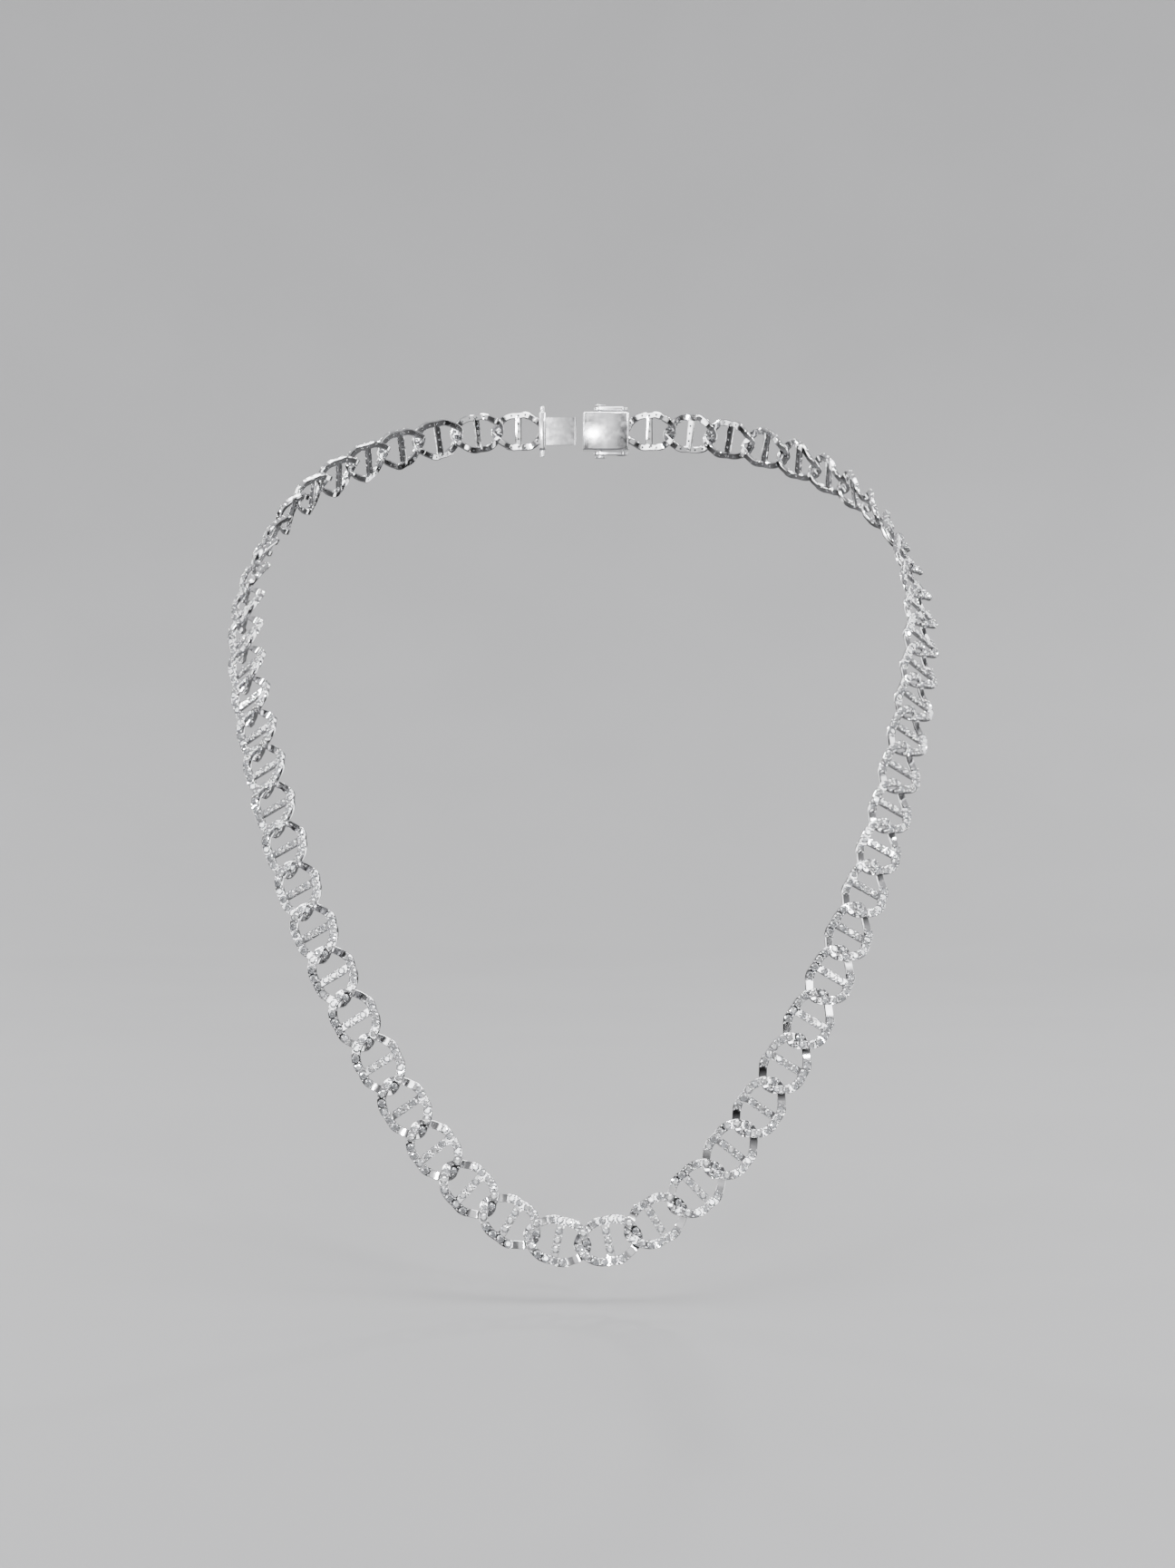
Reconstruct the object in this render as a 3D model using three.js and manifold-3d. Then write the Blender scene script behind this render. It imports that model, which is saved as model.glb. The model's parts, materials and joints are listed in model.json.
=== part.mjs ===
// Chain necklace in its worn shape: 56 barred anchor links that hook straight into each other, and a box clasp
// with a spring tongue and two safety catches, at the nape.
// Units are millimetres, +Z is up, and the wearer faces -Y. The origin is at the nape, in the plane of the clasp
// face that rests on the neck. The clasp is drawn unfastened, with its tongue clear of the box.

import * as THREE from "three";
import { mergeVertices } from "three/addons/utils/BufferGeometryUtils.js";
import Module from "manifold-3d";

// ---- driving dimensions ----
const LINK_COUNT = 56;
const LINK_PITCH = 7.6; // from one interlock to the next

// The centre of a link's band, measured from the middle of the link: from its tip, up over the high corner that
// passes above the neighbour, along the side, to the low corner that passes below the next neighbour. The other
// half of the band is this one after half a turn.
const HALF_RING = [
  [4.7, -0.45, 0],
  [4.1, 0.6, 0.7],
  [3.5, 1.65, 0.95],
  [2.5, 2.5, 0.78],
  [1.4, 2.88, 0.43],
  [0.1, 2.9, 0.05],
  [-1.2, 2.98, -0.38],
  [-2.45, 2.45, -0.78],
  [-3.75, 1.55, -0.9],
];
const RING_STATIONS = 24;
const BAND_WIDTH = 1.25;
const BAND_DEPTH = 0.78;
const BAND_TIP_WIDTH = 0.65; // where two links hook each other
const BAND_TIP_DEPTH = 0.6;
const TIP_TAPER = 2.5; // length, along the chain, over which the band narrows to its tip
const BAR_WIDTH = 1.15;
const BAR_HALF_LENGTH = 2.8;

const CLASP_HALF_SPAN = 15.8; // from the nape to the first interlock on each side
const CLASP_DEPTH = 3.0;
const CLASP_HEIGHT = 7.0;
const CLASP_BODY_END = CLASP_HALF_SPAN - LINK_PITCH; // where each end link is soldered on
const BOX_MOUTH_X = -0.2;
const BOX_WALL = 0.5;
const MOUTH_OPENING = 1.25; // the mouth is lower than the room behind it, so the sprung leaf catches on its lip
const THUMB_NOTCH_LENGTH = 1.6;
const THUMB_NOTCH_WIDTH = 3.0;

const TONGUE_TIP_X = -1.4;
const TONGUE_HEAD_X = -7.0; // face of the head that meets the box when the clasp is fastened
const TONGUE_WIDTH = 5.0;
const TONGUE_LEAF = 0.35;
const TONGUE_SPREAD = 1.0; // from the lower leaf to the sprung end of the upper leaf
const THUMB_HEIGHT = 1.6;
const THUMB_WIDTH = 2.4; // fits the notch of the box

const PEG_RADIUS = 0.42;
const PEG_HEAD_RADIUS = 1;
const PEG_HEAD_LENGTH = 0.3;
const TONGUE_PEG_X = (TONGUE_HEAD_X - CLASP_BODY_END) / 2;
const CATCH_PIVOT_X = 3.0;
const CATCH_REACH = CATCH_PIVOT_X - TONGUE_PEG_X - (BOX_MOUTH_X - TONGUE_HEAD_X); // pivot to eye
const CATCH_WIDTH = 2.4;
const CATCH_THICKNESS = 0.6;
const CATCH_HOLE_RADIUS = 0.75;
const GAP = 0.3; // running clearance between separate pieces
const ROUND_SIDES = 12;

// The right half of the worn line, from the clasp over the shoulder to the lowest point, with the direction that
// the front of the chain faces there. The left half mirrors it.
const DRAPE = [
  { at: [CLASP_HALF_SPAN, 0, 0], faces: [0, 1, 0] },
  { at: [23, -2, -1], faces: [0.25, 0.95, 0.15] },
  { at: [35.5, -8.6, -5], faces: [0.55, 0.75, 0.35] },
  { at: [49, -23.5, -15], faces: [0.78, 0.35, 0.52] },
  { at: [55.5, -48, -33.5], faces: [0.75, -0.35, 0.55] },
  { at: [49.5, -76.4, -62], faces: [0.5, -0.72, 0.42] },
  { at: [37, -94.9, -93.2], faces: [0.3, -0.9, 0.25] },
  { at: [18.6, -103.8, -121.7], faces: [0.12, -0.95, 0.28] },
  { at: [7, -105.6, -130.2], faces: [0.05, -0.96, 0.27] },
  { at: [0, -105.8, -131.6], faces: [0, -0.97, 0.25] },
];

// ---- solids ----
const wasm = await Module();
wasm.setup();

function solidOf(geometry) {
  const bare = geometry.clone();
  bare.deleteAttribute("normal");
  bare.deleteAttribute("uv");
  const merged = mergeVertices(bare, 1e-4);
  return new wasm.Manifold(
    new wasm.Mesh({
      numProp: 3,
      vertProperties: merged.attributes.position.array,
      triVerts: new Uint32Array(merged.index.array),
    }),
  );
}

function geometryOf(solid) {
  const mesh = solid.getMesh();
  const geometry = new THREE.BufferGeometry();
  geometry.setAttribute("position", new THREE.BufferAttribute(mesh.vertProperties, 3));
  geometry.setIndex(new THREE.BufferAttribute(mesh.triVerts, 1));
  geometry.computeVertexNormals();
  return geometry;
}

// A block given by two opposite corners.
function block(low, high) {
  const size = high.map((value, axis) => value - low[axis]);
  const middle = high.map((value, axis) => (value + low[axis]) / 2);
  return new THREE.BoxGeometry(...size).translate(...middle);
}

// A round post along Z.
function post(radius, x, y, fromZ, toZ) {
  return new THREE.CylinderGeometry(radius, radius, toZ - fromZ, ROUND_SIDES)
    .rotateX(Math.PI / 2)
    .translate(x, y, (fromZ + toZ) / 2);
}

// A flat plate with an outline in X and Y, from one height to another.
function plate(shape, fromZ, toZ, curveSegments = 3) {
  const options = { depth: toZ - fromZ, bevelEnabled: false, curveSegments };
  return new THREE.ExtrudeGeometry(shape, options).translate(0, 0, fromZ);
}

// ---- one link ----
// In the link's own frame, X runs along the chain from its first interlock at 0 to the next at LINK_PITCH, Y runs
// across it, and Z faces out. Half a turn about Z through its middle maps the link onto itself.
const ring = new THREE.CatmullRomCurve3(
  [1, -1].flatMap((turn) => HALF_RING.map(([x, y, z]) => new THREE.Vector3(turn * x, turn * y, z))),
  true,
);
ring.arcLengthDivisions = 800;

function ringGeometry() {
  const positions = [];
  const faces = [];
  const up = new THREE.Vector3(0, 0, 1);
  for (let station = 0; station < RING_STATIONS; station++) {
    const centre = ring.getPointAt(station / RING_STATIONS);
    const outward = ring.getTangentAt(station / RING_STATIONS).cross(up).normalize();
    const fromTip = HALF_RING[0][0] - Math.abs(centre.x);
    const nearTip = THREE.MathUtils.clamp(1 - fromTip / TIP_TAPER, 0, 1);
    const halfWidth = THREE.MathUtils.lerp(BAND_WIDTH, BAND_TIP_WIDTH, nearTip) / 2;
    const halfBand = THREE.MathUtils.lerp(BAND_DEPTH, BAND_TIP_DEPTH, nearTip) / 2;
    const corners = [[1, -1], [1, 1], [-1, 1], [-1, -1]];
    for (const [side, level] of corners) {
      const point = centre
        .clone()
        .addScaledVector(outward, side * halfWidth)
        .addScaledVector(up, level * halfBand);
      positions.push(point.x + LINK_PITCH / 2, point.y, point.z);
    }
    const here = 4 * station;
    const next = 4 * ((station + 1) % RING_STATIONS);
    for (let corner = 0; corner < 4; corner++) {
      const other = (corner + 1) % 4;
      faces.push(here + corner, next + corner, next + other);
      faces.push(here + corner, next + other, here + other);
    }
  }
  const geometry = new THREE.BufferGeometry();
  geometry.setAttribute("position", new THREE.Float32BufferAttribute(positions, 3));
  geometry.setIndex(faces);
  return geometry;
}

function linkSolid() {
  const low = [(LINK_PITCH - BAR_WIDTH) / 2, -BAR_HALF_LENGTH, -BAND_DEPTH / 2 + 0.02];
  const high = [(LINK_PITCH + BAR_WIDTH) / 2, BAR_HALF_LENGTH, BAND_DEPTH / 2 - 0.02];
  return solidOf(ringGeometry()).add(solidOf(block(low, high)));
}

const linkShape = linkSolid();
const linkGeometry = geometryOf(linkShape);

// An end link soldered to the clasp, in the clasp's frame: along +X from startX, facing +Y.
function solderedLink(startX) {
  const placed = geometryOf(linkShape).rotateX(-Math.PI / 2).translate(startX, 0, 0);
  return solidOf(placed);
}

// ---- clasp ----
const halfDepth = CLASP_DEPTH / 2;
const halfHeight = CLASP_HEIGHT / 2;
const catchStart = halfHeight + GAP;
const catchEnd = catchStart + CATCH_THICKNESS;

// A peg for a safety catch, standing on both edges of the clasp, with a head that keeps the catch on if wanted.
function pegs(body, x, withHead) {
  for (const side of [1, -1]) {
    const ends = [side * (halfHeight - 0.2), side * (catchEnd + GAP)].sort((a, b) => a - b);
    body = body.add(solidOf(post(PEG_RADIUS, x, 0, ...ends)));
    if (withHead) {
      const start = side * (catchEnd + GAP - 0.02);
      const end = side * (catchEnd + GAP + PEG_HEAD_LENGTH);
      const head = [start, end].sort((a, b) => a - b);
      body = body.add(solidOf(post(PEG_HEAD_RADIUS, x, 0, ...head)));
    }
  }
  return body;
}

function claspBox() {
  const outside = block([BOX_MOUTH_X, -halfDepth, -halfHeight], [CLASP_BODY_END, halfDepth, halfHeight]);
  const floor = -halfDepth + BOX_WALL;
  const side = halfHeight - BOX_WALL;
  const inside = block(
    [BOX_MOUTH_X + BOX_WALL, floor, -side],
    [CLASP_BODY_END - 2 * BOX_WALL, halfDepth - BOX_WALL, side],
  );
  const mouth = block([BOX_MOUTH_X - 1, floor, -side], [BOX_MOUTH_X + 1, floor + MOUTH_OPENING, side]);
  const notch = block(
    [BOX_MOUTH_X - 1, 0, -THUMB_NOTCH_WIDTH / 2],
    [BOX_MOUTH_X + THUMB_NOTCH_LENGTH, CLASP_DEPTH, THUMB_NOTCH_WIDTH / 2],
  );
  const shell = [inside, mouth, notch].reduce((body, cut) => body.subtract(solidOf(cut)), solidOf(outside));
  return pegs(shell.add(solderedLink(CLASP_BODY_END)), CATCH_PIVOT_X, true);
}

// The tongue is one strip folded on itself: a flat lower leaf, and an upper leaf that springs up towards the head.
// The thumb piece stands on the sprung end, between the shoulders that catch behind the lip of the box.
function claspTongue() {
  const low = -halfDepth + BOX_WALL + GAP;
  const high = low + TONGUE_LEAF;
  const springEnd = TONGUE_HEAD_X + 1.2;
  const strip = new THREE.Shape();
  strip.moveTo(TONGUE_HEAD_X - 0.2, low);
  strip.lineTo(TONGUE_TIP_X, low);
  strip.lineTo(TONGUE_TIP_X, high + TONGUE_LEAF);
  strip.lineTo(springEnd - TONGUE_LEAF, high + TONGUE_SPREAD);
  strip.lineTo(springEnd - TONGUE_LEAF, high + TONGUE_SPREAD - TONGUE_LEAF);
  strip.lineTo(TONGUE_TIP_X - 1, high);
  strip.lineTo(TONGUE_HEAD_X - 0.2, high);
  const leaves = plate(strip, -TONGUE_WIDTH / 2, TONGUE_WIDTH / 2);
  const head = block([-CLASP_BODY_END, -halfDepth, -halfHeight], [TONGUE_HEAD_X, halfDepth, halfHeight]);
  const thumb = block(
    [springEnd - TONGUE_LEAF, high + TONGUE_SPREAD - TONGUE_LEAF, -THUMB_WIDTH / 2],
    [springEnd + TONGUE_LEAF, high + TONGUE_SPREAD + THUMB_HEIGHT, THUMB_WIDTH / 2],
  );
  const soldered = solderedLink(-CLASP_HALF_SPAN);
  const body = [head, thumb].reduce((whole, piece) => whole.add(solidOf(piece)), solidOf(leaves).add(soldered));
  return pegs(body, TONGUE_PEG_X, false);
}

// A safety catch, parked along the edge of the box: a plate with a pivot hole and an eye.
function safetyCatch(side) {
  const radius = CATCH_WIDTH / 2;
  const outline = new THREE.Shape();
  outline.absarc(0, 0, radius, Math.PI / 2, (3 * Math.PI) / 2);
  outline.absarc(CATCH_REACH, 0, radius, -Math.PI / 2, Math.PI / 2);
  for (const x of [0, CATCH_REACH]) {
    outline.holes.push(new THREE.Path().absarc(x, 0, CATCH_HOLE_RADIUS, 0, 2 * Math.PI, true));
  }
  const ends = [side * catchStart, side * catchEnd].sort((a, b) => a - b);
  return plate(outline, ...ends, ROUND_SIDES / 2);
}

// ---- scene graph ----
const rhodium = { roughness: 0.15, metalness: 1 };
const linkMetal = new THREE.MeshStandardMaterial({ color: 0xdedee0, ...rhodium });
const claspMetal = new THREE.MeshStandardMaterial({ color: 0xd6d6d8, ...rhodium });
const springMetal = new THREE.MeshStandardMaterial({ color: 0xcacacc, roughness: 0.25, metalness: 1 });

const necklace = new THREE.Group();
necklace.position.y = halfDepth;

function addPiece(name, geometry, material) {
  const piece = new THREE.Mesh(geometry, material);
  piece.name = name;
  necklace.add(piece);
  return piece;
}

addPiece("clasp_box", geometryOf(claspBox()), claspMetal);
const upperCatch = addPiece("safety_catch_upper", safetyCatch(1), springMetal);
const lowerCatch = addPiece("safety_catch_lower", safetyCatch(-1), springMetal);
upperCatch.position.x = CATCH_PIVOT_X;
lowerCatch.position.x = CATCH_PIVOT_X;

// The full worn line, from the clasp's right end round the front to its left end.
function mirrored(point) {
  return [-point[0], point[1], point[2]];
}
const leftHalf = DRAPE.slice(0, -1).reverse();
const line = [...DRAPE.map((stop) => stop.at), ...leftHalf.map((stop) => mirrored(stop.at))];
const facing = [...DRAPE.map((stop) => stop.faces), ...leftHalf.map((stop) => mirrored(stop.faces))];
const route = new THREE.CatmullRomCurve3(line.map((point) => new THREE.Vector3(...point)));
const outwards = new THREE.CatmullRomCurve3(facing.map((point) => new THREE.Vector3(...point)));
outwards.curveType = "catmullrom";
route.arcLengthDivisions = 2000;
if (Math.abs(route.getLength() - LINK_COUNT * LINK_PITCH) > 0.5) {
  throw new Error("the worn line is " + route.getLength() + " mm, which the links don't fill");
}

const interlocks = [];
for (let joint = 0; joint <= LINK_COUNT; joint++) {
  const share = joint / LINK_COUNT;
  const out = outwards.getPoint(route.getUtoTmapping(share));
  interlocks.push({ at: route.getPointAt(share), out });
}

for (let link = 0; link < LINK_COUNT; link++) {
  const from = interlocks[link];
  const to = interlocks[link + 1];
  const along = to.at.clone().sub(from.at).normalize();
  const across = from.out.clone().add(to.out).cross(along).normalize();
  const out = along.clone().cross(across);
  const name = "link_" + String(link + 1).padStart(2, "0");
  const piece = addPiece(name, linkGeometry, linkMetal);
  piece.position.copy(from.at);
  piece.quaternion.setFromRotationMatrix(new THREE.Matrix4().makeBasis(along, across, out));
}

addPiece("clasp_tongue", geometryOf(claspTongue()), claspMetal);

export default necklace;
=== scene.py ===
"""Chain necklace in its worn shape: pave-set anchor links hooked link into link, and a box clasp at the nape.

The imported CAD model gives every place: a link's own frame comes from the two interlocks at its ends. In that
frame X runs along the chain from the first interlock, Y runs across it and Z faces out, away from the neck.
"""

import json
import math

import bmesh
import bpy
from mathutils import Matrix, Vector

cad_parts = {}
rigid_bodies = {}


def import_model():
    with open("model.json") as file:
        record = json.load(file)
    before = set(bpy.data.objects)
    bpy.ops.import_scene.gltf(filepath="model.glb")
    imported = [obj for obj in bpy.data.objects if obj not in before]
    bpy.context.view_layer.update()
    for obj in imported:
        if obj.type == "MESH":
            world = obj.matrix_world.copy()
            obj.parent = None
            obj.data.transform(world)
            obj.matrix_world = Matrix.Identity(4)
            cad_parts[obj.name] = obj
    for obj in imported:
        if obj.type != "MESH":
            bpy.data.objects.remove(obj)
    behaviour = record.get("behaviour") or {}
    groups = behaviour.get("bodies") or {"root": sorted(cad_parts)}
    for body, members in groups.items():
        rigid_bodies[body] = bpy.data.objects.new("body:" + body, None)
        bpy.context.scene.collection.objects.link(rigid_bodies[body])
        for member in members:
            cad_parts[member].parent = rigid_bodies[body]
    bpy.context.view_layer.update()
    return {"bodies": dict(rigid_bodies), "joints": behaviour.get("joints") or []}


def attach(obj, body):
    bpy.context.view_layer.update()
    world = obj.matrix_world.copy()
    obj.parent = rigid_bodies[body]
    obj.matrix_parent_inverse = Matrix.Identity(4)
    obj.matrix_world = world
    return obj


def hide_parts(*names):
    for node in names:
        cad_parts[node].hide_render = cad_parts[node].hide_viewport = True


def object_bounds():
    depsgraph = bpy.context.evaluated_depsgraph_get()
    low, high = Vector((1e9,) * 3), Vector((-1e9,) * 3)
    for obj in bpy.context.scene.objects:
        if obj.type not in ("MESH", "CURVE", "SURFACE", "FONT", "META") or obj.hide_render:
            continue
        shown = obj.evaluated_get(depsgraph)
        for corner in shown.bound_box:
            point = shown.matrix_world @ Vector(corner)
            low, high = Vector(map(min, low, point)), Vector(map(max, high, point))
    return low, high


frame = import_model()

MM = 0.001
JOINTS = {joint["name"]: joint for joint in frame["joints"]}
LINK_NAMES = sorted(name for name in frame["bodies"] if name.startswith("link_"))

# ---- link: sizes in millimetres ----
PITCH = 7.6
HALF_RING = [  # centre of the band from a tip over the high corner to the low corner, from the link's middle
    (4.7, -0.45, 0.0),
    (4.1, 0.6, 0.7),
    (3.5, 1.65, 0.95),
    (2.5, 2.5, 0.78),
    (1.4, 2.88, 0.43),
    (0.1, 2.9, 0.05),
    (-1.2, 2.98, -0.38),
    (-2.45, 2.45, -0.78),
    (-3.75, 1.55, -0.9),
]
BAND_WIDTH = 1.25
BAND_HALF_DEPTH = 0.39
TIP_WIDTH = 0.6
TIP_TOP = 0.2
TIP_BOTTOM = -0.3
TIP_LENGTH = 1.1
LOW_WIDTH = 1.15  # the plain polished stretch that dives under the neighbour
LOW_TOP = 0.22
LOW_BOTTOM = -0.33
LOW_TAPER = 1.6  # length over which that stretch narrows to its tip
LOW_FACETS = (0.36, 0.66, 0.86)  # where its polished facets meet, as shares of its length
BEVEL = 0.05
BELLY = 0.2
FLANK = 0.35  # height of the widest part of the band, as a share of its depth
BAR_WIDTH = 1.15
BAR_HALF_LENGTH = 2.85
BAR_HALF_DEPTH = 0.37

# ---- stones and their setting: sizes in millimetres ----
STONE_RADIUS = 0.59
TIP_STONE_RADIUS = 0.52
FIRST_STONE = 1.35  # distance along the band from the tip
STONE_PITCH = 1.36
STONES_PER_ARC = 6
ARC_END = FIRST_STONE + STONE_PITCH * (STONES_PER_ARC - 1) + 0.72
STEP_LENGTH = 0.04  # of the step down from the set stretch to the low one
BAR_STONE_PITCH = 1.37
GIRDLE_DEPTH = 0.07  # girdle below the metal's top
STONE_TURN = 0.37  # how much further each stone is turned than the last, in radians
STONE_LEAN = math.radians(5)
SEAT_CLEARANCE = 0.01
SEAT_LEDGE = 0.11  # depth at which a seat starts to narrow
SEAT_HOLE = 0.2  # radius of the hole that opens at the back of the link
BEAD = (0.2, 0.15, 0.15)  # half sizes
BEAD_INSET = 0.2
NOTCH_RADIUS = 0.25
NOTCH_OFFSET = 0.12  # from the edge of the band to the middle of a notch
NOTCH_DEPTH = 0.36
TIP_BEAD = (0.36, 0.3, 0.17)  # half sizes
TIP_BEAD_AT = 0.55  # distance along the band from the tip
TIP_BEAD_SINK = 0.05

# A stone's proportions, over its radius.
CROWN = 0.3
PAVILION = 0.86
TABLE = 0.56
STAR_REACH = 0.8
STAR_HEIGHT = 0.16
GIRDLE_REACH = 0.985
GIRDLE_HALF = 0.03
HALVES_REACH = 0.3
HALVES_DEPTH = 0.62
# ---- clasp: sizes in millimetres ----
CLASP_DEPTH = 3.0
CLASP_HEIGHT = 7.0
CLASP_END = 8.2  # where each end link is soldered on, from the nape
CLASP_EDGE = 0.3  # rounding of its long edges
BOX_MOUTH_X = -0.2
BOX_WALL = 0.5
MOUTH_OPENING = 1.25
THUMB_NOTCH_LENGTH = 1.6
THUMB_NOTCH_WIDTH = 3.0
THUMB_NOTCH_EDGE = 0.25
GROOVE_INSET = 0.75  # of the frame line engraved on the box
GROOVE_WIDTH = 0.18
GROOVE_DEPTH = 0.1
HEAD_X = -7.0  # face of the tongue's head
FOLD_X = -1.75
SPRUNG_END_X = -5.8
LEAF = 0.35
LEAF_SHARE = 0.47  # of its thickness on each side of its middle, so the folded leaves stay apart
SPREAD = 1.0
TONGUE_WIDTH = 5.0
THUMB_WIDTH = 2.4
THUMB_HEIGHT = 1.6
THUMB_EDGE = 0.16
CLEARANCE = 0.3
PEG_RADIUS = 0.42
HEAD_RADIUS = 1.0
HEAD_LENGTH = 0.3
CATCH_PIVOT_X = 3.0
CATCH_REACH = 3.8  # from the pivot to the eye
CATCH_WIDTH = 2.4
CATCH_HOLE = 0.75
CATCH_FOOT = 3.8
CATCH_TOP = 4.4
CATCH_BEVEL = 0.1
EYE_FLARE = 0.12


# ---- curves ----
def catmull_rom(points, steps):
    """Points on the closed centripetal Catmull-Rom curve through these points."""
    made = []
    count = len(points)
    for i in range(count):
        p0, p1, p2, p3 = (points[(i + k - 1) % count] for k in range(4))
        d0, d1, d2 = ((b - a).length ** 0.5 for a, b in ((p0, p1), (p1, p2), (p2, p3)))
        m1 = ((p1 - p0) / d0 - (p2 - p0) / (d0 + d1) + (p2 - p1) / d1) * d1
        m2 = ((p2 - p1) / d1 - (p3 - p1) / (d1 + d2) + (p3 - p2) / d2) * d1
        for s in range(steps):
            t = s / steps
            a = 2 * t**3 - 3 * t**2 + 1
            b = t**3 - 2 * t**2 + t
            c = -2 * t**3 + 3 * t**2
            d = t**3 - t**2
            made.append(p1 * a + m1 * b + p2 * c + m2 * d)
    return made


class Ring:
    """The centre line of a link's band, by distance from the first tip."""

    def __init__(self):
        half = [Vector(p) for p in HALF_RING]
        turned = [Vector((-p.x, -p.y, p.z)) for p in half]
        self.points = catmull_rom(half + turned, 40)
        self.at = [0.0]
        closed = self.points + [self.points[0]]
        for a, b in zip(closed, closed[1:]):
            self.at.append(self.at[-1] + (b - a).length)
        self.length = self.at[-1]

    def point(self, distance):
        distance %= self.length
        low, high = 0, len(self.points)
        while high - low > 1:
            middle = (low + high) // 2
            if self.at[middle] <= distance:
                low = middle
            else:
                high = middle
        share = (distance - self.at[low]) / (self.at[low + 1] - self.at[low])
        return self.points[low].lerp(self.points[(low + 1) % len(self.points)], share)

    def basis(self, distance):
        """Centre, direction along, outward side and up at this distance."""
        step = 0.05
        along = (self.point(distance + step) - self.point(distance - step)).normalized()
        side = along.cross(Vector((0, 0, 1))).normalized()
        return self.point(distance), along, side, side.cross(along)


RING = Ring()
HALF = RING.length / 2


def smooth(value):
    value = min(max(value, 0.0), 1.0)
    return value * value * (3 - 2 * value)


def mix(a, b, share):
    return a + (b - a) * share


def section(distance):
    """Width, top and bottom of the band at a distance from the tip of its own arc."""
    from_tip = smooth(distance / TIP_LENGTH)
    to_tip = smooth((HALF - distance) / LOW_TAPER)
    if distance <= ARC_END:
        return (
            mix(TIP_WIDTH, BAND_WIDTH, from_tip),
            mix(TIP_TOP, BAND_HALF_DEPTH, from_tip),
            mix(TIP_BOTTOM, -BAND_HALF_DEPTH, from_tip),
        )
    return (
        mix(TIP_WIDTH, LOW_WIDTH, to_tip),
        mix(TIP_TOP, LOW_TOP, to_tip),
        mix(TIP_BOTTOM, LOW_BOTTOM, to_tip),
    )


def outline(width, top, bottom):
    """Band section as (side, up) points: a crisp bevel on top and a rounder belly."""
    half = width / 2
    right = [
        (half - BEVEL, top),
        (half, top - BEVEL),
        (half, mix(bottom, top, FLANK)),
        (half - BEVEL, bottom + BELLY / 2),
        (half - BELLY, bottom),
    ]
    return right + [(-x, y) for x, y in reversed(right)]


# ---- mesh helpers ----
def mesh_object(name, verts, faces):
    mesh = bpy.data.meshes.new(name)
    mesh.from_pydata([tuple(v) for v in verts], [], faces)
    mesh.validate()
    obj = bpy.data.objects.new(name, mesh)
    bpy.context.scene.collection.objects.link(obj)
    return obj


def outward(obj):
    made = bmesh.new()
    made.from_mesh(obj.data)
    bmesh.ops.recalc_face_normals(made, faces=made.faces)
    made.to_mesh(obj.data)
    made.free()
    return obj


def circle(place, radius, height, sides, turn=0.0):
    """Points round the Z axis of a matrix."""
    angles = [2 * math.pi * k / sides + turn for k in range(sides)]
    return [place @ Vector((radius * math.cos(a), radius * math.sin(a), height)) for a in angles]


class Builder:
    """Collects closed shells into one mesh."""

    def __init__(self):
        self.verts = []
        self.faces = []

    def loft(self, rings, closed=False, caps=True):
        start = len(self.verts)
        count = len(rings[0])
        for ring in rings:
            self.verts.extend(ring)
        spans = len(rings) if closed else len(rings) - 1
        for i in range(spans):
            a = start + i * count
            b = start + ((i + 1) % len(rings)) * count
            for k in range(count):
                m = (k + 1) % count
                self.faces.append((a + k, a + m, b + m, b + k))
        if caps and not closed:
            self.faces.append(tuple(start + k for k in reversed(range(count))))
            last = start + (len(rings) - 1) * count
            self.faces.append(tuple(last + k for k in range(count)))

    def lathe(self, profile, place, sides):
        """Rings of (radius, height), placed by a matrix whose Z is the axis."""
        self.loft([circle(place, radius, height, sides) for radius, height in profile])

    def ball(self, place, sides=10, rows=6):
        """A unit ball under a matrix."""
        profile = []
        for row in range(1, rows):
            angle = math.pi * row / rows
            profile.append((math.sin(angle), -math.cos(angle)))
        start = len(self.verts)
        for radius, height in profile:
            self.verts.extend(circle(place, radius, height, sides))
        south = len(self.verts)
        self.verts.append(place @ Vector((0, 0, -1)))
        north = len(self.verts)
        self.verts.append(place @ Vector((0, 0, 1)))
        for k in range(sides):
            m = (k + 1) % sides
            self.faces.append((south, start + m, start + k))
            top = start + (len(profile) - 1) * sides
            self.faces.append((north, top + k, top + m))
            for row in range(len(profile) - 1):
                a = start + row * sides
                b = a + sides
                self.faces.append((a + k, a + m, b + m, b + k))

    def build(self, name):
        return outward(mesh_object(name, self.verts, self.faces))


def boolean(target, tool, operation):
    modifier = target.modifiers.new("cut", "BOOLEAN")
    modifier.object = tool
    modifier.operation = operation
    modifier.solver = "MANIFOLD"
    graph = bpy.context.evaluated_depsgraph_get()
    made = bpy.data.meshes.new_from_object(target.evaluated_get(graph))
    target.modifiers.clear()
    old = target.data
    target.data = made
    bpy.data.meshes.remove(old)
    bpy.data.objects.remove(tool)


def crease(mesh, degrees):
    for polygon in mesh.polygons:
        polygon.use_smooth = True
    mesh.set_sharp_from_angle(angle=math.radians(degrees))


# ---- stones ----
def top_frame(distance, arc, sink=0.0):
    """Matrix at the metal's top at a distance from the tip of an arc: X runs along the band and Z up."""
    centre, along, side, up = RING.basis(distance + arc * HALF)
    place = Matrix((along, side, up)).transposed().to_4x4()
    place.translation = centre + up * (section(distance)[1] - sink)
    return place


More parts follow.
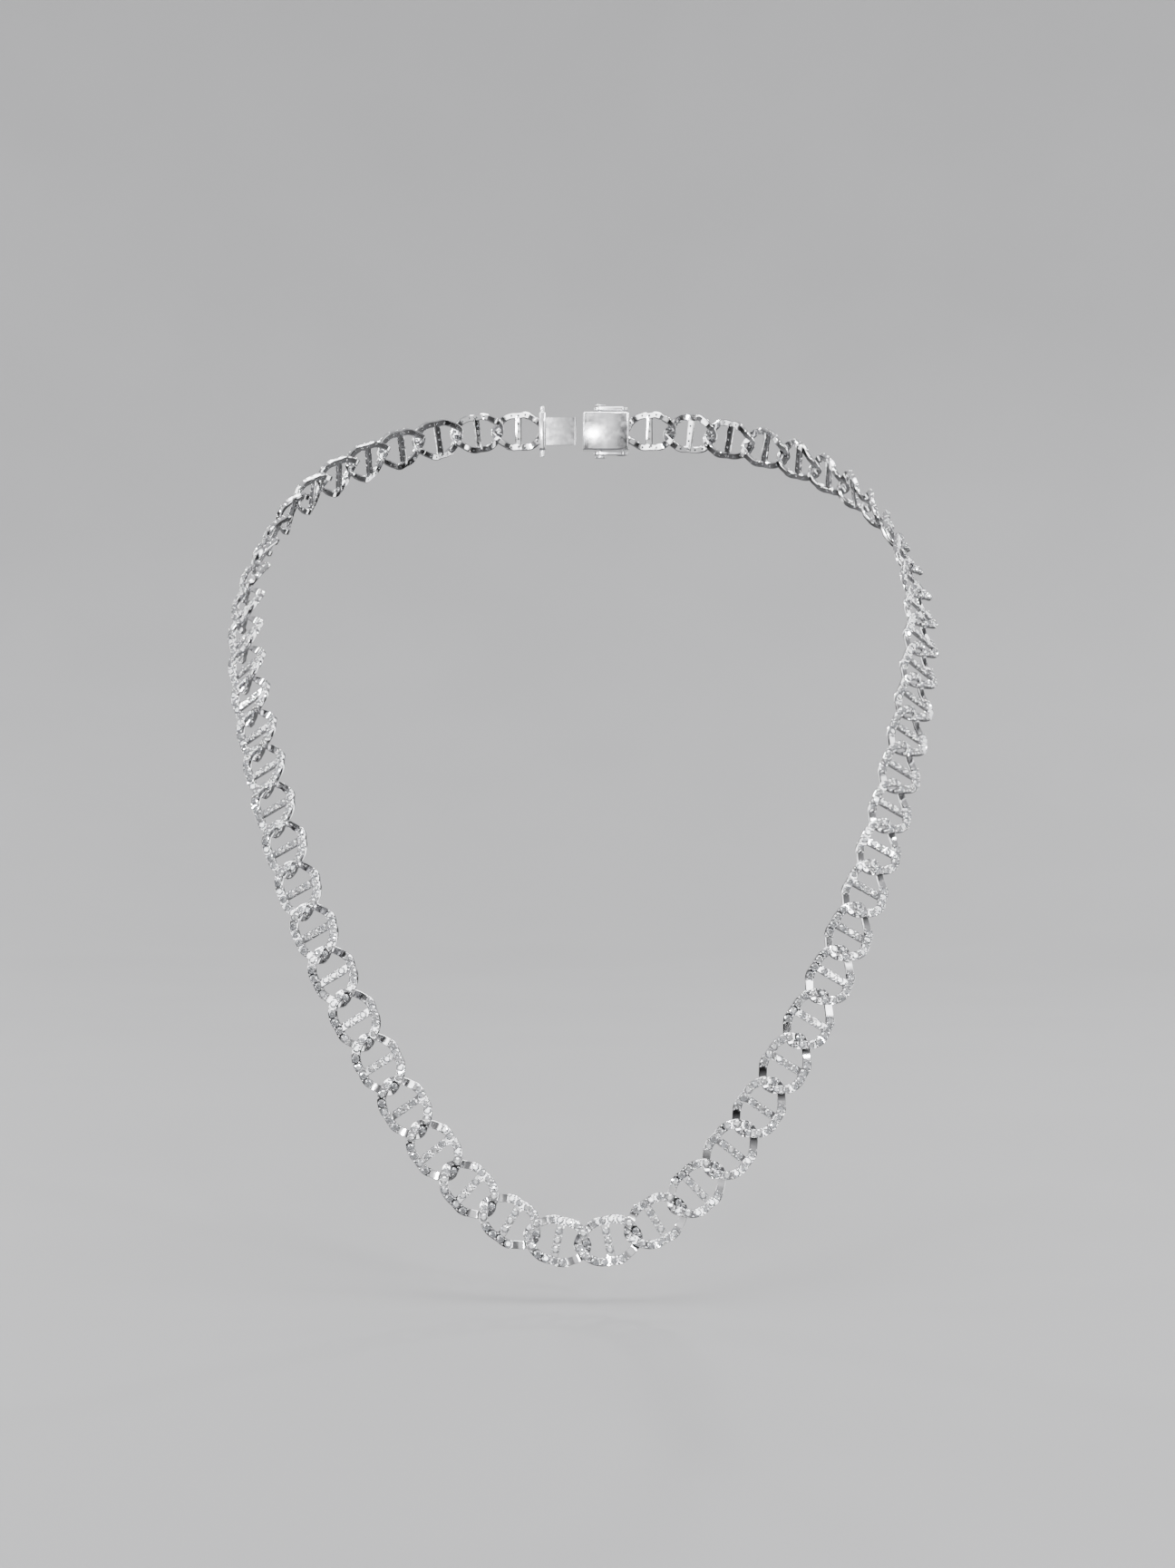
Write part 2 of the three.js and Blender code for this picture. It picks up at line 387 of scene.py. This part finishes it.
def seat_frames():
    """(matrix at the metal's top, radius) of every stone of a link: Z is the stone's own axis."""
    seats = []
    for arc in (0, 1):
        for i in range(STONES_PER_ARC):
            distance = FIRST_STONE + STONE_PITCH * i
            place = top_frame(distance, arc)
            seats.append((place, TIP_STONE_RADIUS if i == 0 else STONE_RADIUS))
    for i in (-1, 0, 1):
        place = Matrix.Rotation(math.pi / 2, 4, "Z")
        place.translation = Vector((0, i * BAR_STONE_PITCH, BAR_HALF_DEPTH))
        seats.append((place, STONE_RADIUS))
    return seats


def add_brilliant(builder, place, radius, turn):
    """A round brilliant: table, stars, kites and girdle facets above, and mains and halves below."""

    def ring(count, reach, height, offset):
        first = len(builder.verts)
        level = height * radius - GIRDLE_DEPTH
        builder.verts.extend(circle(place, reach * radius, level, count, turn + 2 * math.pi * offset / count))
        return first

    table = ring(8, TABLE, CROWN, 0)
    star = ring(8, STAR_REACH, STAR_HEIGHT, 0.5)
    upper = ring(16, GIRDLE_REACH, GIRDLE_HALF, 0)
    lower = ring(16, GIRDLE_REACH, -GIRDLE_HALF, 0)
    halves = ring(8, HALVES_REACH, -HALVES_DEPTH, 0.5)
    culet = len(builder.verts)
    builder.verts.append(place @ Vector((0, 0, -PAVILION * radius - GIRDLE_DEPTH)))
    add = builder.faces.append
    add(tuple(table + k for k in range(8)))
    for k in range(8):
        m = (k + 1) % 8
        add((table + k, star + k, table + m))
        add((table + m, star + k, upper + 2 * k + 1, upper + (2 * k + 2) % 16))
        add((table + m, upper + (2 * k + 2) % 16, star + m))
        add((star + m, upper + (2 * k + 2) % 16, upper + (2 * k + 3) % 16))
        add((lower + 2 * k, halves + k, lower + 2 * k + 1))
        add((lower + 2 * k + 1, halves + k, lower + (2 * k + 2) % 16))
        add((halves + k, halves + m, lower + (2 * k + 2) % 16))
        add((culet, halves + m, halves + k))
    for k in range(16):
        m = (k + 1) % 16
        add((upper + k, upper + m, lower + m, lower + k))


def stones_mesh():
    """All stones of a link, each turned a little and leaning in its seat, as hand-set stones do."""
    builder = Builder()
    for i, (place, radius) in enumerate(seat_frames()):
        lean = Matrix.Rotation(STONE_LEAN * math.sin(2.4 * i + 1), 4, "X")
        lean = lean @ Matrix.Rotation(STONE_LEAN * math.cos(3.7 * i), 4, "Y")
        add_brilliant(builder, place @ lean, radius, STONE_TURN * i)
    stones = builder.build("stones")
    for polygon in stones.data.polygons:
        polygon.use_smooth = False
    return stones


# ---- the metal of one link ----
def band_stations():
    """Distances from the tip of one arc: close together where the band is set, and facet by facet below."""
    count = 30
    stations = [ARC_END * i / count for i in range(count + 1)]
    stations.append(ARC_END + STEP_LENGTH)
    return stations + [mix(ARC_END, HALF, share) for share in LOW_FACETS]


def link_metal():
    rings = []
    for arc in (0, 1):
        for distance in band_stations():
            centre, along, side, up = RING.basis(distance + arc * HALF)
            width, top, bottom = section(distance)
            rings.append([centre + side * x + up * y for x, y in outline(width, top, bottom)])
    band = Builder()
    band.loft(rings, closed=True)
    metal = band.build("link")

    bar = Builder()
    profile = outline(BAR_WIDTH, BAR_HALF_DEPTH, -BAR_HALF_DEPTH + 0.05)
    ends = (-BAR_HALF_LENGTH, BAR_HALF_LENGTH)
    bar.loft([[Vector((x, y, z)) for x, z in profile] for y in ends])
    boolean(metal, bar.build("bar"), "UNION")

    cuts = Builder()
    for place, radius in seat_frames():
        wall = radius + SEAT_CLEARANCE
        cone = [(SEAT_HOLE + 0.06, -0.45), (SEAT_HOLE, -0.52), (SEAT_HOLE, -1.3)]
        cuts.lathe([(wall, 0.4), (wall, -SEAT_LEDGE)] + cone, place, 16)
    boolean(metal, cuts.build("seats"), "DIFFERENCE")

    beads = Builder()
    notches = Builder()
    for place, across in gap_frames():
        for sign in (1, -1):
            spot = place @ Matrix.Translation((0, sign * (across - BEAD_INSET), 0.01))
            beads.ball(spot @ Matrix.Diagonal((*BEAD, 1)))
            edge = place @ Matrix.Translation((0, sign * (across + NOTCH_OFFSET), 0))
            notches.lathe([(NOTCH_RADIUS, 0.3), (NOTCH_RADIUS, -NOTCH_DEPTH)], edge, 12)
    boolean(metal, notches.build("notches"), "DIFFERENCE")
    tips = Builder()
    for arc in (0, 1):
        place = top_frame(TIP_BEAD_AT, arc, TIP_BEAD_SINK)
        tips.ball(place @ Matrix.Diagonal((*TIP_BEAD, 1)), 12, 8)
    boolean(metal, beads.build("beads"), "UNION")
    boolean(metal, tips.build("tips"), "UNION")
    crease(metal.data, 32)
    return metal


def gap_frames():
    """(matrix at the metal's top, half width) of every gap between stones, where the beads stand."""
    gaps = []
    for arc in (0, 1):
        for i in range(STONES_PER_ARC):
            distance = FIRST_STONE + STONE_PITCH * (i + 0.5)
            gaps.append((top_frame(distance, arc), section(distance)[0] / 2))
    for i in (-1, 1):
        place = Matrix.Rotation(math.pi / 2, 4, "Z")
        place.translation = Vector((0, i * BAR_STONE_PITCH / 2, BAR_HALF_DEPTH))
        gaps.append((place, BAR_WIDTH / 2))
    return gaps


# ---- materials: noise scales in waves per metre, depth in metres ----
TONE_SCALE = 450
WEAR_SCALE = 900
GRAIN_SCALE = 7000
GRAIN_STRENGTH = 0.12
GRAIN_DEPTH = 2e-6
STONE_TONE_SCALE = 900
STONE_WEAR_SCALE = 1500


class Nodes:
    """A node material built a node at a time."""

    def __init__(self, name):
        self.material = bpy.data.materials.new(name)
        self.material.use_nodes = True
        self.tree = self.material.node_tree
        self.shader = self.tree.nodes["Principled BSDF"]
        self.coordinates = self.tree.nodes.new("ShaderNodeTexCoord").outputs["Object"]

    def noise(self, scale, detail=2.0, stretch=None):
        source = self.coordinates
        if stretch:
            mapping = self.tree.nodes.new("ShaderNodeMapping")
            mapping.inputs["Scale"].default_value = stretch
            self.tree.links.new(source, mapping.inputs["Vector"])
            source = mapping.outputs["Vector"]
        node = self.tree.nodes.new("ShaderNodeTexNoise")
        node.inputs["Scale"].default_value = scale
        node.inputs["Detail"].default_value = detail
        self.tree.links.new(source, node.inputs["Vector"])
        return node.outputs["Fac"]

    def spread(self, value, low, high):
        """Noise spread from low to high."""
        node = self.tree.nodes.new("ShaderNodeMapRange")
        node.inputs["From Min"].default_value = 0.3
        node.inputs["From Max"].default_value = 0.7
        node.inputs["To Min"].default_value = low
        node.inputs["To Max"].default_value = high
        self.tree.links.new(value, node.inputs["Value"])
        return node.outputs["Result"]

    def tones(self, value, dark, light):
        node = self.tree.nodes.new("ShaderNodeValToRGB")
        node.color_ramp.elements[0].position = 0.35
        node.color_ramp.elements[0].color = (*dark, 1)
        node.color_ramp.elements[1].position = 0.65
        node.color_ramp.elements[1].color = (*light, 1)
        self.tree.links.new(value, node.inputs["Fac"])
        return node.outputs["Color"]

    def bump(self, value, strength, depth):
        node = self.tree.nodes.new("ShaderNodeBump")
        node.inputs["Strength"].default_value = strength
        node.inputs["Distance"].default_value = depth
        self.tree.links.new(value, node.inputs["Height"])
        self.tree.links.new(node.outputs["Normal"], self.shader.inputs["Normal"])

    def drive(self, socket, output):
        self.tree.links.new(output, self.shader.inputs[socket])


def metal_material(name, dark, light, polished, worn, brushed=None):
    """White metal whose tone and polish vary a little, with a fine grain that may be brushed one way."""
    nodes = Nodes(name)
    nodes.shader.inputs["Metallic"].default_value = 1.0
    nodes.drive("Base Color", nodes.tones(nodes.noise(TONE_SCALE, 3), dark, light))
    nodes.drive("Roughness", nodes.spread(nodes.noise(WEAR_SCALE, 4), polished, worn))
    nodes.bump(nodes.noise(GRAIN_SCALE, 3, brushed), GRAIN_STRENGTH, GRAIN_DEPTH)
    return nodes.material


def gem_material():
    """Clear stone, with the part of the light that its facets send back as a share of metal."""
    nodes = Nodes("clear_stone")
    nodes.shader.inputs["Transmission Weight"].default_value = 0.88
    nodes.shader.inputs["Metallic"].default_value = 0.4
    nodes.shader.inputs["IOR"].default_value = 2.2
    cool, white = (0.86, 0.88, 0.92), (1.0, 1.0, 1.0)
    nodes.drive("Base Color", nodes.tones(nodes.noise(STONE_TONE_SCALE, 2), cool, white))
    nodes.drive("Roughness", nodes.spread(nodes.noise(STONE_WEAR_SCALE, 2), 0.0, 0.05))
    return nodes.material


LINK_METAL = metal_material("link_rhodium", (0.54, 0.54, 0.55), (0.74, 0.74, 0.755), 0.06, 0.16)
CLASP_METAL = metal_material("clasp_rhodium", (0.68, 0.68, 0.7), (0.84, 0.84, 0.86), 0.12, 0.26, (1, 0.08, 1))
SPRING_METAL = metal_material("spring_wire", (0.6, 0.6, 0.62), (0.76, 0.76, 0.78), 0.14, 0.28, (0.08, 1, 1))
GEM = gem_material()


# ---- placing the links ----
def link_matrix(at, along, across):
    """A link's own frame in the row frame, for a mesh in millimetres round the link's middle."""
    out = along.cross(across)
    place = Matrix((along, across, out)).transposed().to_4x4()
    place.translation = at
    return place


def place_link(name, body, node, place, metal, stones):
    """One link in two pieces, its metal and its stones, which share their meshes with all other links."""
    piece = bpy.data.objects.new(name, metal)
    gems = bpy.data.objects.new(name + "_stones", stones)
    for obj in (piece, gems):
        bpy.context.scene.collection.objects.link(obj)
        obj.matrix_world = place
        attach(obj, body)
    if node:
        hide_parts(node)


base_metal = link_metal()
base_stones = stones_mesh()
to_metres = Matrix.Scale(MM, 4) @ Matrix.Translation((PITCH / 2, 0, 0))
for base, material in ((base_metal, LINK_METAL), (base_stones, GEM)):
    base.data.transform(to_metres)
    base.data.materials.clear()
    base.data.materials.append(material)
link_data, stone_data = base_metal.data, base_stones.data
bpy.data.objects.remove(base_metal)
bpy.data.objects.remove(base_stones)

for number, name in enumerate(LINK_NAMES, 1):
    start = JOINTS[f"interlock_{number:02d}"]
    end = JOINTS[f"interlock_{number + 1:02d}"]
    at = Vector(start["pos_m"])
    along = (Vector(end["pos_m"]) - at).normalized()
    across = -Vector(start["axis"]).normalized()
    place = link_matrix(at, along, across)
    place_link(name + "_band", name, name, place, link_data, stone_data)


# ---- clasp, in millimetres, with Y out from the neck ----
def soldered_link(name, body, start_x):
    """An end link soldered to one half of the clasp."""
    at = Vector((start_x, CLASP_DEPTH / 2, 0)) * MM
    place = link_matrix(at, Vector((1, 0, 0)), Vector((0, 0, -1)))
    place_link(name, body, None, place, link_data, stone_data)


def slab(name, low, high, rounding=0.0):
    """A block between two corners, with rounded edges where asked."""
    made = bmesh.new()
    bmesh.ops.create_cube(made, size=1)
    size = Vector(high) - Vector(low)
    middle = (Vector(high) + Vector(low)) / 2
    place = Matrix.Translation(middle) @ Matrix.Diagonal((*size, 1))
    bmesh.ops.transform(made, matrix=place, verts=made.verts)
    if rounding:
        edges = made.edges[:]
        bmesh.ops.bevel(made, geom=edges, offset=rounding, segments=3, profile=0.5, affect="EDGES")
    mesh = bpy.data.meshes.new(name)
    made.to_mesh(mesh)
    made.free()
    obj = bpy.data.objects.new(name, mesh)
    bpy.context.scene.collection.objects.link(obj)
    return obj


def peg(builder, x, sign, headed):
    """A peg for a safety catch on one edge of the clasp, with a domed end."""
    top = CATCH_TOP + CLEARANCE + (HEAD_LENGTH if headed else 0)
    profile = [(PEG_RADIUS, CLASP_HEIGHT / 2 - 0.2)]
    if headed:
        under = CATCH_TOP + CLEARANCE
        profile += [(PEG_RADIUS, under), (HEAD_RADIUS, under + 0.02), (HEAD_RADIUS, under + 0.14)]
        profile += [(0.85 * HEAD_RADIUS, top - 0.05), (0.45 * HEAD_RADIUS, top)]
    else:
        profile += [(PEG_RADIUS, top - 0.15), (0.75 * PEG_RADIUS, top - 0.04), (0.3 * PEG_RADIUS, top)]
    place = Matrix.Translation((x, CLASP_DEPTH / 2, 0))
    if sign < 0:
        place = place @ Matrix.Rotation(math.pi, 4, "X")
    builder.lathe(profile, place, 20)


def framed_slab(name, inset, deep, proud):
    """A block on the box's outer face, this far inside the frame line's outer edge."""
    left = THUMB_NOTCH_LENGTH + 0.35 + inset
    right = CLASP_END - GROOVE_INSET - inset
    half = CLASP_HEIGHT / 2 - GROOVE_INSET - inset
    return slab(name, (left, CLASP_DEPTH - deep, -half), (right, CLASP_DEPTH + proud, half))


def clasp_box():
    half = CLASP_HEIGHT / 2
    wall = BOX_WALL
    notch_half = THUMB_NOTCH_WIDTH / 2
    body = slab("clasp_box_shell", (BOX_MOUTH_X, 0, -half), (CLASP_END, CLASP_DEPTH, half), CLASP_EDGE)
    room_low = (BOX_MOUTH_X + wall, wall, wall - half)
    room_high = (CLASP_END - 2 * wall, CLASP_DEPTH - wall, half - wall)
    mouth_low = (BOX_MOUTH_X - 1, wall, wall - half)
    mouth_high = (BOX_MOUTH_X + 1, wall + MOUTH_OPENING, half - wall)
    notch_low = (BOX_MOUTH_X - 2, CLASP_DEPTH / 2, -notch_half)
    notch_high = (BOX_MOUTH_X + THUMB_NOTCH_LENGTH, 2 * CLASP_DEPTH, notch_half)
    boolean(body, slab("room", room_low, room_high), "DIFFERENCE")
    boolean(body, slab("mouth", mouth_low, mouth_high), "DIFFERENCE")
    boolean(body, slab("notch", notch_low, notch_high, THUMB_NOTCH_EDGE), "DIFFERENCE")
    groove = framed_slab("groove", 0, GROOVE_DEPTH, 1)
    boolean(groove, framed_slab("island", GROOVE_WIDTH, 1, 2), "DIFFERENCE")
    boolean(body, groove, "DIFFERENCE")
    for sign in (1, -1):
        pegs = Builder()
        peg(pegs, CATCH_PIVOT_X, sign, True)
        boolean(body, pegs.build("pegs"), "UNION")
    return body


def leaf_section():
    """Centre line of the folded strip, in X and Y, from the head round the fold to its sprung end."""
    low = BOX_WALL + CLEARANCE + LEAF / 2
    path = [Vector((HEAD_X - 0.3, low)), Vector((FOLD_X, low))]
    for step in range(1, 8):
        angle = -math.pi / 2 + math.pi * step / 8
        path.append(Vector((FOLD_X, low + LEAF / 2)) + Vector((math.cos(angle), math.sin(angle))) * LEAF / 2)
    path.append(Vector((FOLD_X, low + LEAF)))
    path.append(Vector((SPRUNG_END_X, low + SPREAD)))
    return path


def clasp_tongue():
    half = CLASP_HEIGHT / 2
    body = slab("clasp_tongue_leaf", (-CLASP_END, 0, -half), (HEAD_X, CLASP_DEPTH, half), CLASP_EDGE)
    path = leaf_section()
    edge = TONGUE_WIDTH / 2
    rings = []
    for i, point in enumerate(path):
        before, after = path[max(i - 1, 0)], path[min(i + 1, len(path) - 1)]
        along = (after - before).normalized()
        normal = Vector((-along.y, along.x)) * LEAF * LEAF_SHARE
        spots = [(point + normal * sign, z) for sign, z in ((1, -edge), (1, edge), (-1, edge), (-1, -edge))]
        rings.append([Vector((spot.x, spot.y, z)) for spot, z in spots])
    leaves = Builder()
    leaves.loft(rings)
    boolean(body, leaves.build("leaves"), "UNION")
    thumb_half = (LEAF - 0.05, THUMB_WIDTH / 2)
    thumb_low = (SPRUNG_END_X - thumb_half[0], path[-1].y - 0.3, -thumb_half[1])
    thumb_high = (SPRUNG_END_X + thumb_half[0], path[-1].y + THUMB_HEIGHT, thumb_half[1])
    boolean(body, slab("thumb", thumb_low, thumb_high, THUMB_EDGE), "UNION")
    for sign in (1, -1):
        pegs = Builder()
        peg(pegs, (HEAD_X - CLASP_END) / 2, sign, False)
        boolean(body, pegs.build("pegs"), "UNION")
    return body


def safety_catch(name, sign):
    """A plate with a pivot hole and an eye, with soft edges."""
    low, high = sorted((sign * CATCH_FOOT, sign * CATCH_TOP))
    steps = 16
    rings = []
    bevel = CATCH_BEVEL
    for inset, z in ((bevel, low), (0, low + bevel), (0, high - bevel), (bevel, high)):
        ring = []
        for x, start in ((CATCH_REACH, -math.pi / 2), (0.0, math.pi / 2)):
            for k in range(steps + 1):
                angle = start + math.pi * k / steps
                reach = Vector((math.cos(angle), math.sin(angle), 0)) * (CATCH_WIDTH / 2 - inset)
                ring.append(Vector((CATCH_PIVOT_X + x, CLASP_DEPTH / 2, z)) + reach)
        rings.append(ring)
    plate = Builder()
    plate.loft(rings)
    body = plate.build(name)
    for x in (0.0, CATCH_REACH):
        hole = Builder()
        flare = CATCH_HOLE + EYE_FLARE
        profile = [(flare, low - 0.2), (flare, low), (CATCH_HOLE, low + EYE_FLARE)]
        profile += [(CATCH_HOLE, high - EYE_FLARE), (flare, high), (flare, high + 0.2)]
        hole.lathe(profile, Matrix.Translation((CATCH_PIVOT_X + x, CLASP_DEPTH / 2, 0)), 28)
        boolean(body, hole.build("hole"), "DIFFERENCE")
    return body


def set_clasp_piece(obj, body, material):
    """Scales a finished clasp piece to metres, shades it and hands it to its body."""
    obj.data.transform(Matrix.Scale(MM, 4))
    crease(obj.data, 35)
    obj.data.materials.clear()
    obj.data.materials.append(material)
    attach(obj, body)
    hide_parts(body)


set_clasp_piece(clasp_box(), "clasp_box", CLASP_METAL)
set_clasp_piece(clasp_tongue(), "clasp_tongue", CLASP_METAL)
for body, sign in (("safety_catch_upper", 1), ("safety_catch_lower", -1)):
    set_clasp_piece(safety_catch(body + "_plate", sign), body, SPRING_METAL)
soldered_link("box_end_link", "clasp_box", CLASP_END)
soldered_link("tongue_end_link", "clasp_tongue", -CLASP_END - PITCH)

# ---- stage ----
low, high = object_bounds()
centre = (Vector(low) + Vector(high)) / 2
FLOOR_Z = low[2] - 0.004
BOWL_RADIUS = 1.3
BOWL_CURVE = 0.6
BOWL_HEIGHT = 1.6
BOWL_SIDES = 96
BOWL_STEPS = 12


def bowl():
    """A pale floor that curves up into a wall all round."""
    flat = BOWL_RADIUS - BOWL_CURVE
    profile = [(0.3, 0.0), (flat, 0.0)]
    for step in range(1, BOWL_STEPS + 1):
        angle = math.pi / 2 * step / BOWL_STEPS
        profile.append((flat + BOWL_CURVE * math.sin(angle), BOWL_CURVE * (1 - math.cos(angle))))
    profile.append((BOWL_RADIUS, BOWL_HEIGHT))
    verts, faces = [], []
    for radius, height in profile:
        verts.extend(circle(Matrix.Identity(4), radius, height, BOWL_SIDES))
    for row in range(len(profile) - 1):
        a = row * BOWL_SIDES
        b = a + BOWL_SIDES
        for k in range(BOWL_SIDES):
            m = (k + 1) % BOWL_SIDES
            faces.append((a + k, a + m, b + m, b + k))
    middle = len(verts)
    verts.append((0, 0, 0))
    faces.extend((middle, (k + 1) % BOWL_SIDES, k) for k in range(BOWL_SIDES))
    made = mesh_object("studio_floor", verts, faces)
    for polygon in made.data.polygons:
        polygon.use_smooth = True
    made.location = (centre.x, centre.y, FLOOR_Z)
    return made


def plain(name, colour, roughness):
    """A matt surface of nearly one tone."""
    nodes = Nodes(name)
    dark = tuple(0.97 * c for c in colour)
    nodes.drive("Base Color", nodes.tones(nodes.noise(12, 2), dark, colour))
    nodes.shader.inputs["Roughness"].default_value = roughness
    return nodes.material


floor = bowl()
floor.data.materials.append(plain("pale_floor", (0.27, 0.27, 0.275), 0.7))
floor.visible_glossy = False  # the floor and wall stay out of the metal and the stones
floor.visible_transmission = False
floor.visible_shadow = False  # and let the lights outside them through


def softbox(name, place, size, power):
    """A soft light that faces the middle of the chain."""
    light = bpy.data.lights.new(name, "AREA")
    light.shape = "RECTANGLE"
    light.size, light.size_y = size
    light.energy = power
    obj = bpy.data.objects.new(name, light)
    bpy.context.scene.collection.objects.link(obj)
    obj.location = Vector(place) + centre
    obj.rotation_euler = (centre - obj.location).to_track_quat("-Z", "Y").to_euler()


# (turn in degrees from the front, rise, width, height, power) of the panels round the set: bright, dim and
# dark stretches alternate, so polished metal and stones show all three from any side.
PANELS = [
    (-36, 0.45, 0.5, 1.1, 11.0),
    (0, 0.1, 0.5, 1.4, 2.5),
    (40, 0.4, 0.3, 1.0, 8.0),
    (88, 0.25, 0.45, 1.4, 8.0),
    (134, 0.2, 0.4, 1.6, 9.0),
    (180, 0.0, 0.6, 2.0, 2.5),
    (-134, 0.2, 0.4, 1.6, 9.0),
    (-88, 0.25, 0.45, 1.4, 8.0),
]
PANEL_RADIUS = 1.5
# (turn, rise) of small bright lamps that the facets and beads pick up as points of light.
LAMPS = [
    (-152, 0.5),
    (-105, 1.0),
    (-62, 0.3),
    (-23, 0.9),
    (-9, 0.2),
    (12, 1.3),
    (30, 0.6),
    (70, 0.9),
    (110, 0.5),
    (162, 0.8),
]
LAMP_SIZE = 0.1
LAMP_POWER = 6.0


def around(turn, rise):
    """A place round the set, outside its wall, which lets the light through."""
    angle = math.radians(turn)
    return (PANEL_RADIUS * math.sin(angle), -PANEL_RADIUS * math.cos(angle), rise)


for number, (turn, rise, wide, tall, power) in enumerate(PANELS):
    softbox(f"panel_{number}", around(turn, rise), (wide, tall), power)
for number, (turn, rise) in enumerate(LAMPS):
    softbox(f"lamp_{number}", around(turn, rise), (LAMP_SIZE, LAMP_SIZE), LAMP_POWER)
softbox("top", (0.05, -0.1, 1.2), (0.8, 0.8), 22.0)

# (height of a direction, from -1 straight down to 1 straight up; brightness of the room that way): a dark
# belt round the horizon gives the polished metal and the stones their dark parts.
ROOM = [(-1.0, 0.3), (-0.4, 0.16), (-0.12, 0.02), (0.0, 0.012), (0.9, 0.81)]


def studio_world():
    world = bpy.data.worlds.new("studio")
    world.use_nodes = True
    tree = world.node_tree
    direction = tree.nodes.new("ShaderNodeTexCoord")
    split = tree.nodes.new("ShaderNodeSeparateXYZ")
    share = tree.nodes.new("ShaderNodeMapRange")
    share.inputs["From Min"].default_value = -1.0
    share.inputs["From Max"].default_value = 1.0
    room = tree.nodes.new("ShaderNodeValToRGB")
    elements = room.color_ramp.elements
    while len(elements) < len(ROOM):
        elements.new(0.5)
    for element, (height, brightness) in zip(elements, ROOM):
        element.position = (height + 1) / 2
        element.color = (brightness, brightness, 1.02 * brightness, 1)
    tree.links.new(direction.outputs["Generated"], split.inputs["Vector"])
    tree.links.new(split.outputs["Z"], share.inputs["Value"])
    tree.links.new(share.outputs["Result"], room.inputs["Fac"])
    tree.links.new(room.outputs["Color"], tree.nodes["Background"].inputs["Color"])
    tree.nodes["Background"].inputs["Strength"].default_value = 1.0
    return world


bpy.context.scene.world = studio_world()

# ---- camera: level, in front of the wearer ----
CAMERA_X = 0.00066
CAMERA_Z = -0.0646
FRONT_Y = -0.1035  # the front of the chain
CAMERA_FROM_FRONT = 0.4
FRONT_HEIGHT = 0.2277  # what the long side of the picture spans at the front of the chain
SENSOR = 36.0
camera_data = bpy.data.cameras.new("camera")
camera_data.sensor_width = SENSOR
camera_data.lens = SENSOR * CAMERA_FROM_FRONT / FRONT_HEIGHT
camera_data.clip_start = 0.01
camera = bpy.data.objects.new("camera", camera_data)
bpy.context.scene.collection.objects.link(camera)
camera.location = (CAMERA_X, FRONT_Y - CAMERA_FROM_FRONT, CAMERA_Z)
camera.rotation_euler = (math.pi / 2, 0, 0)
bpy.context.scene.camera = camera
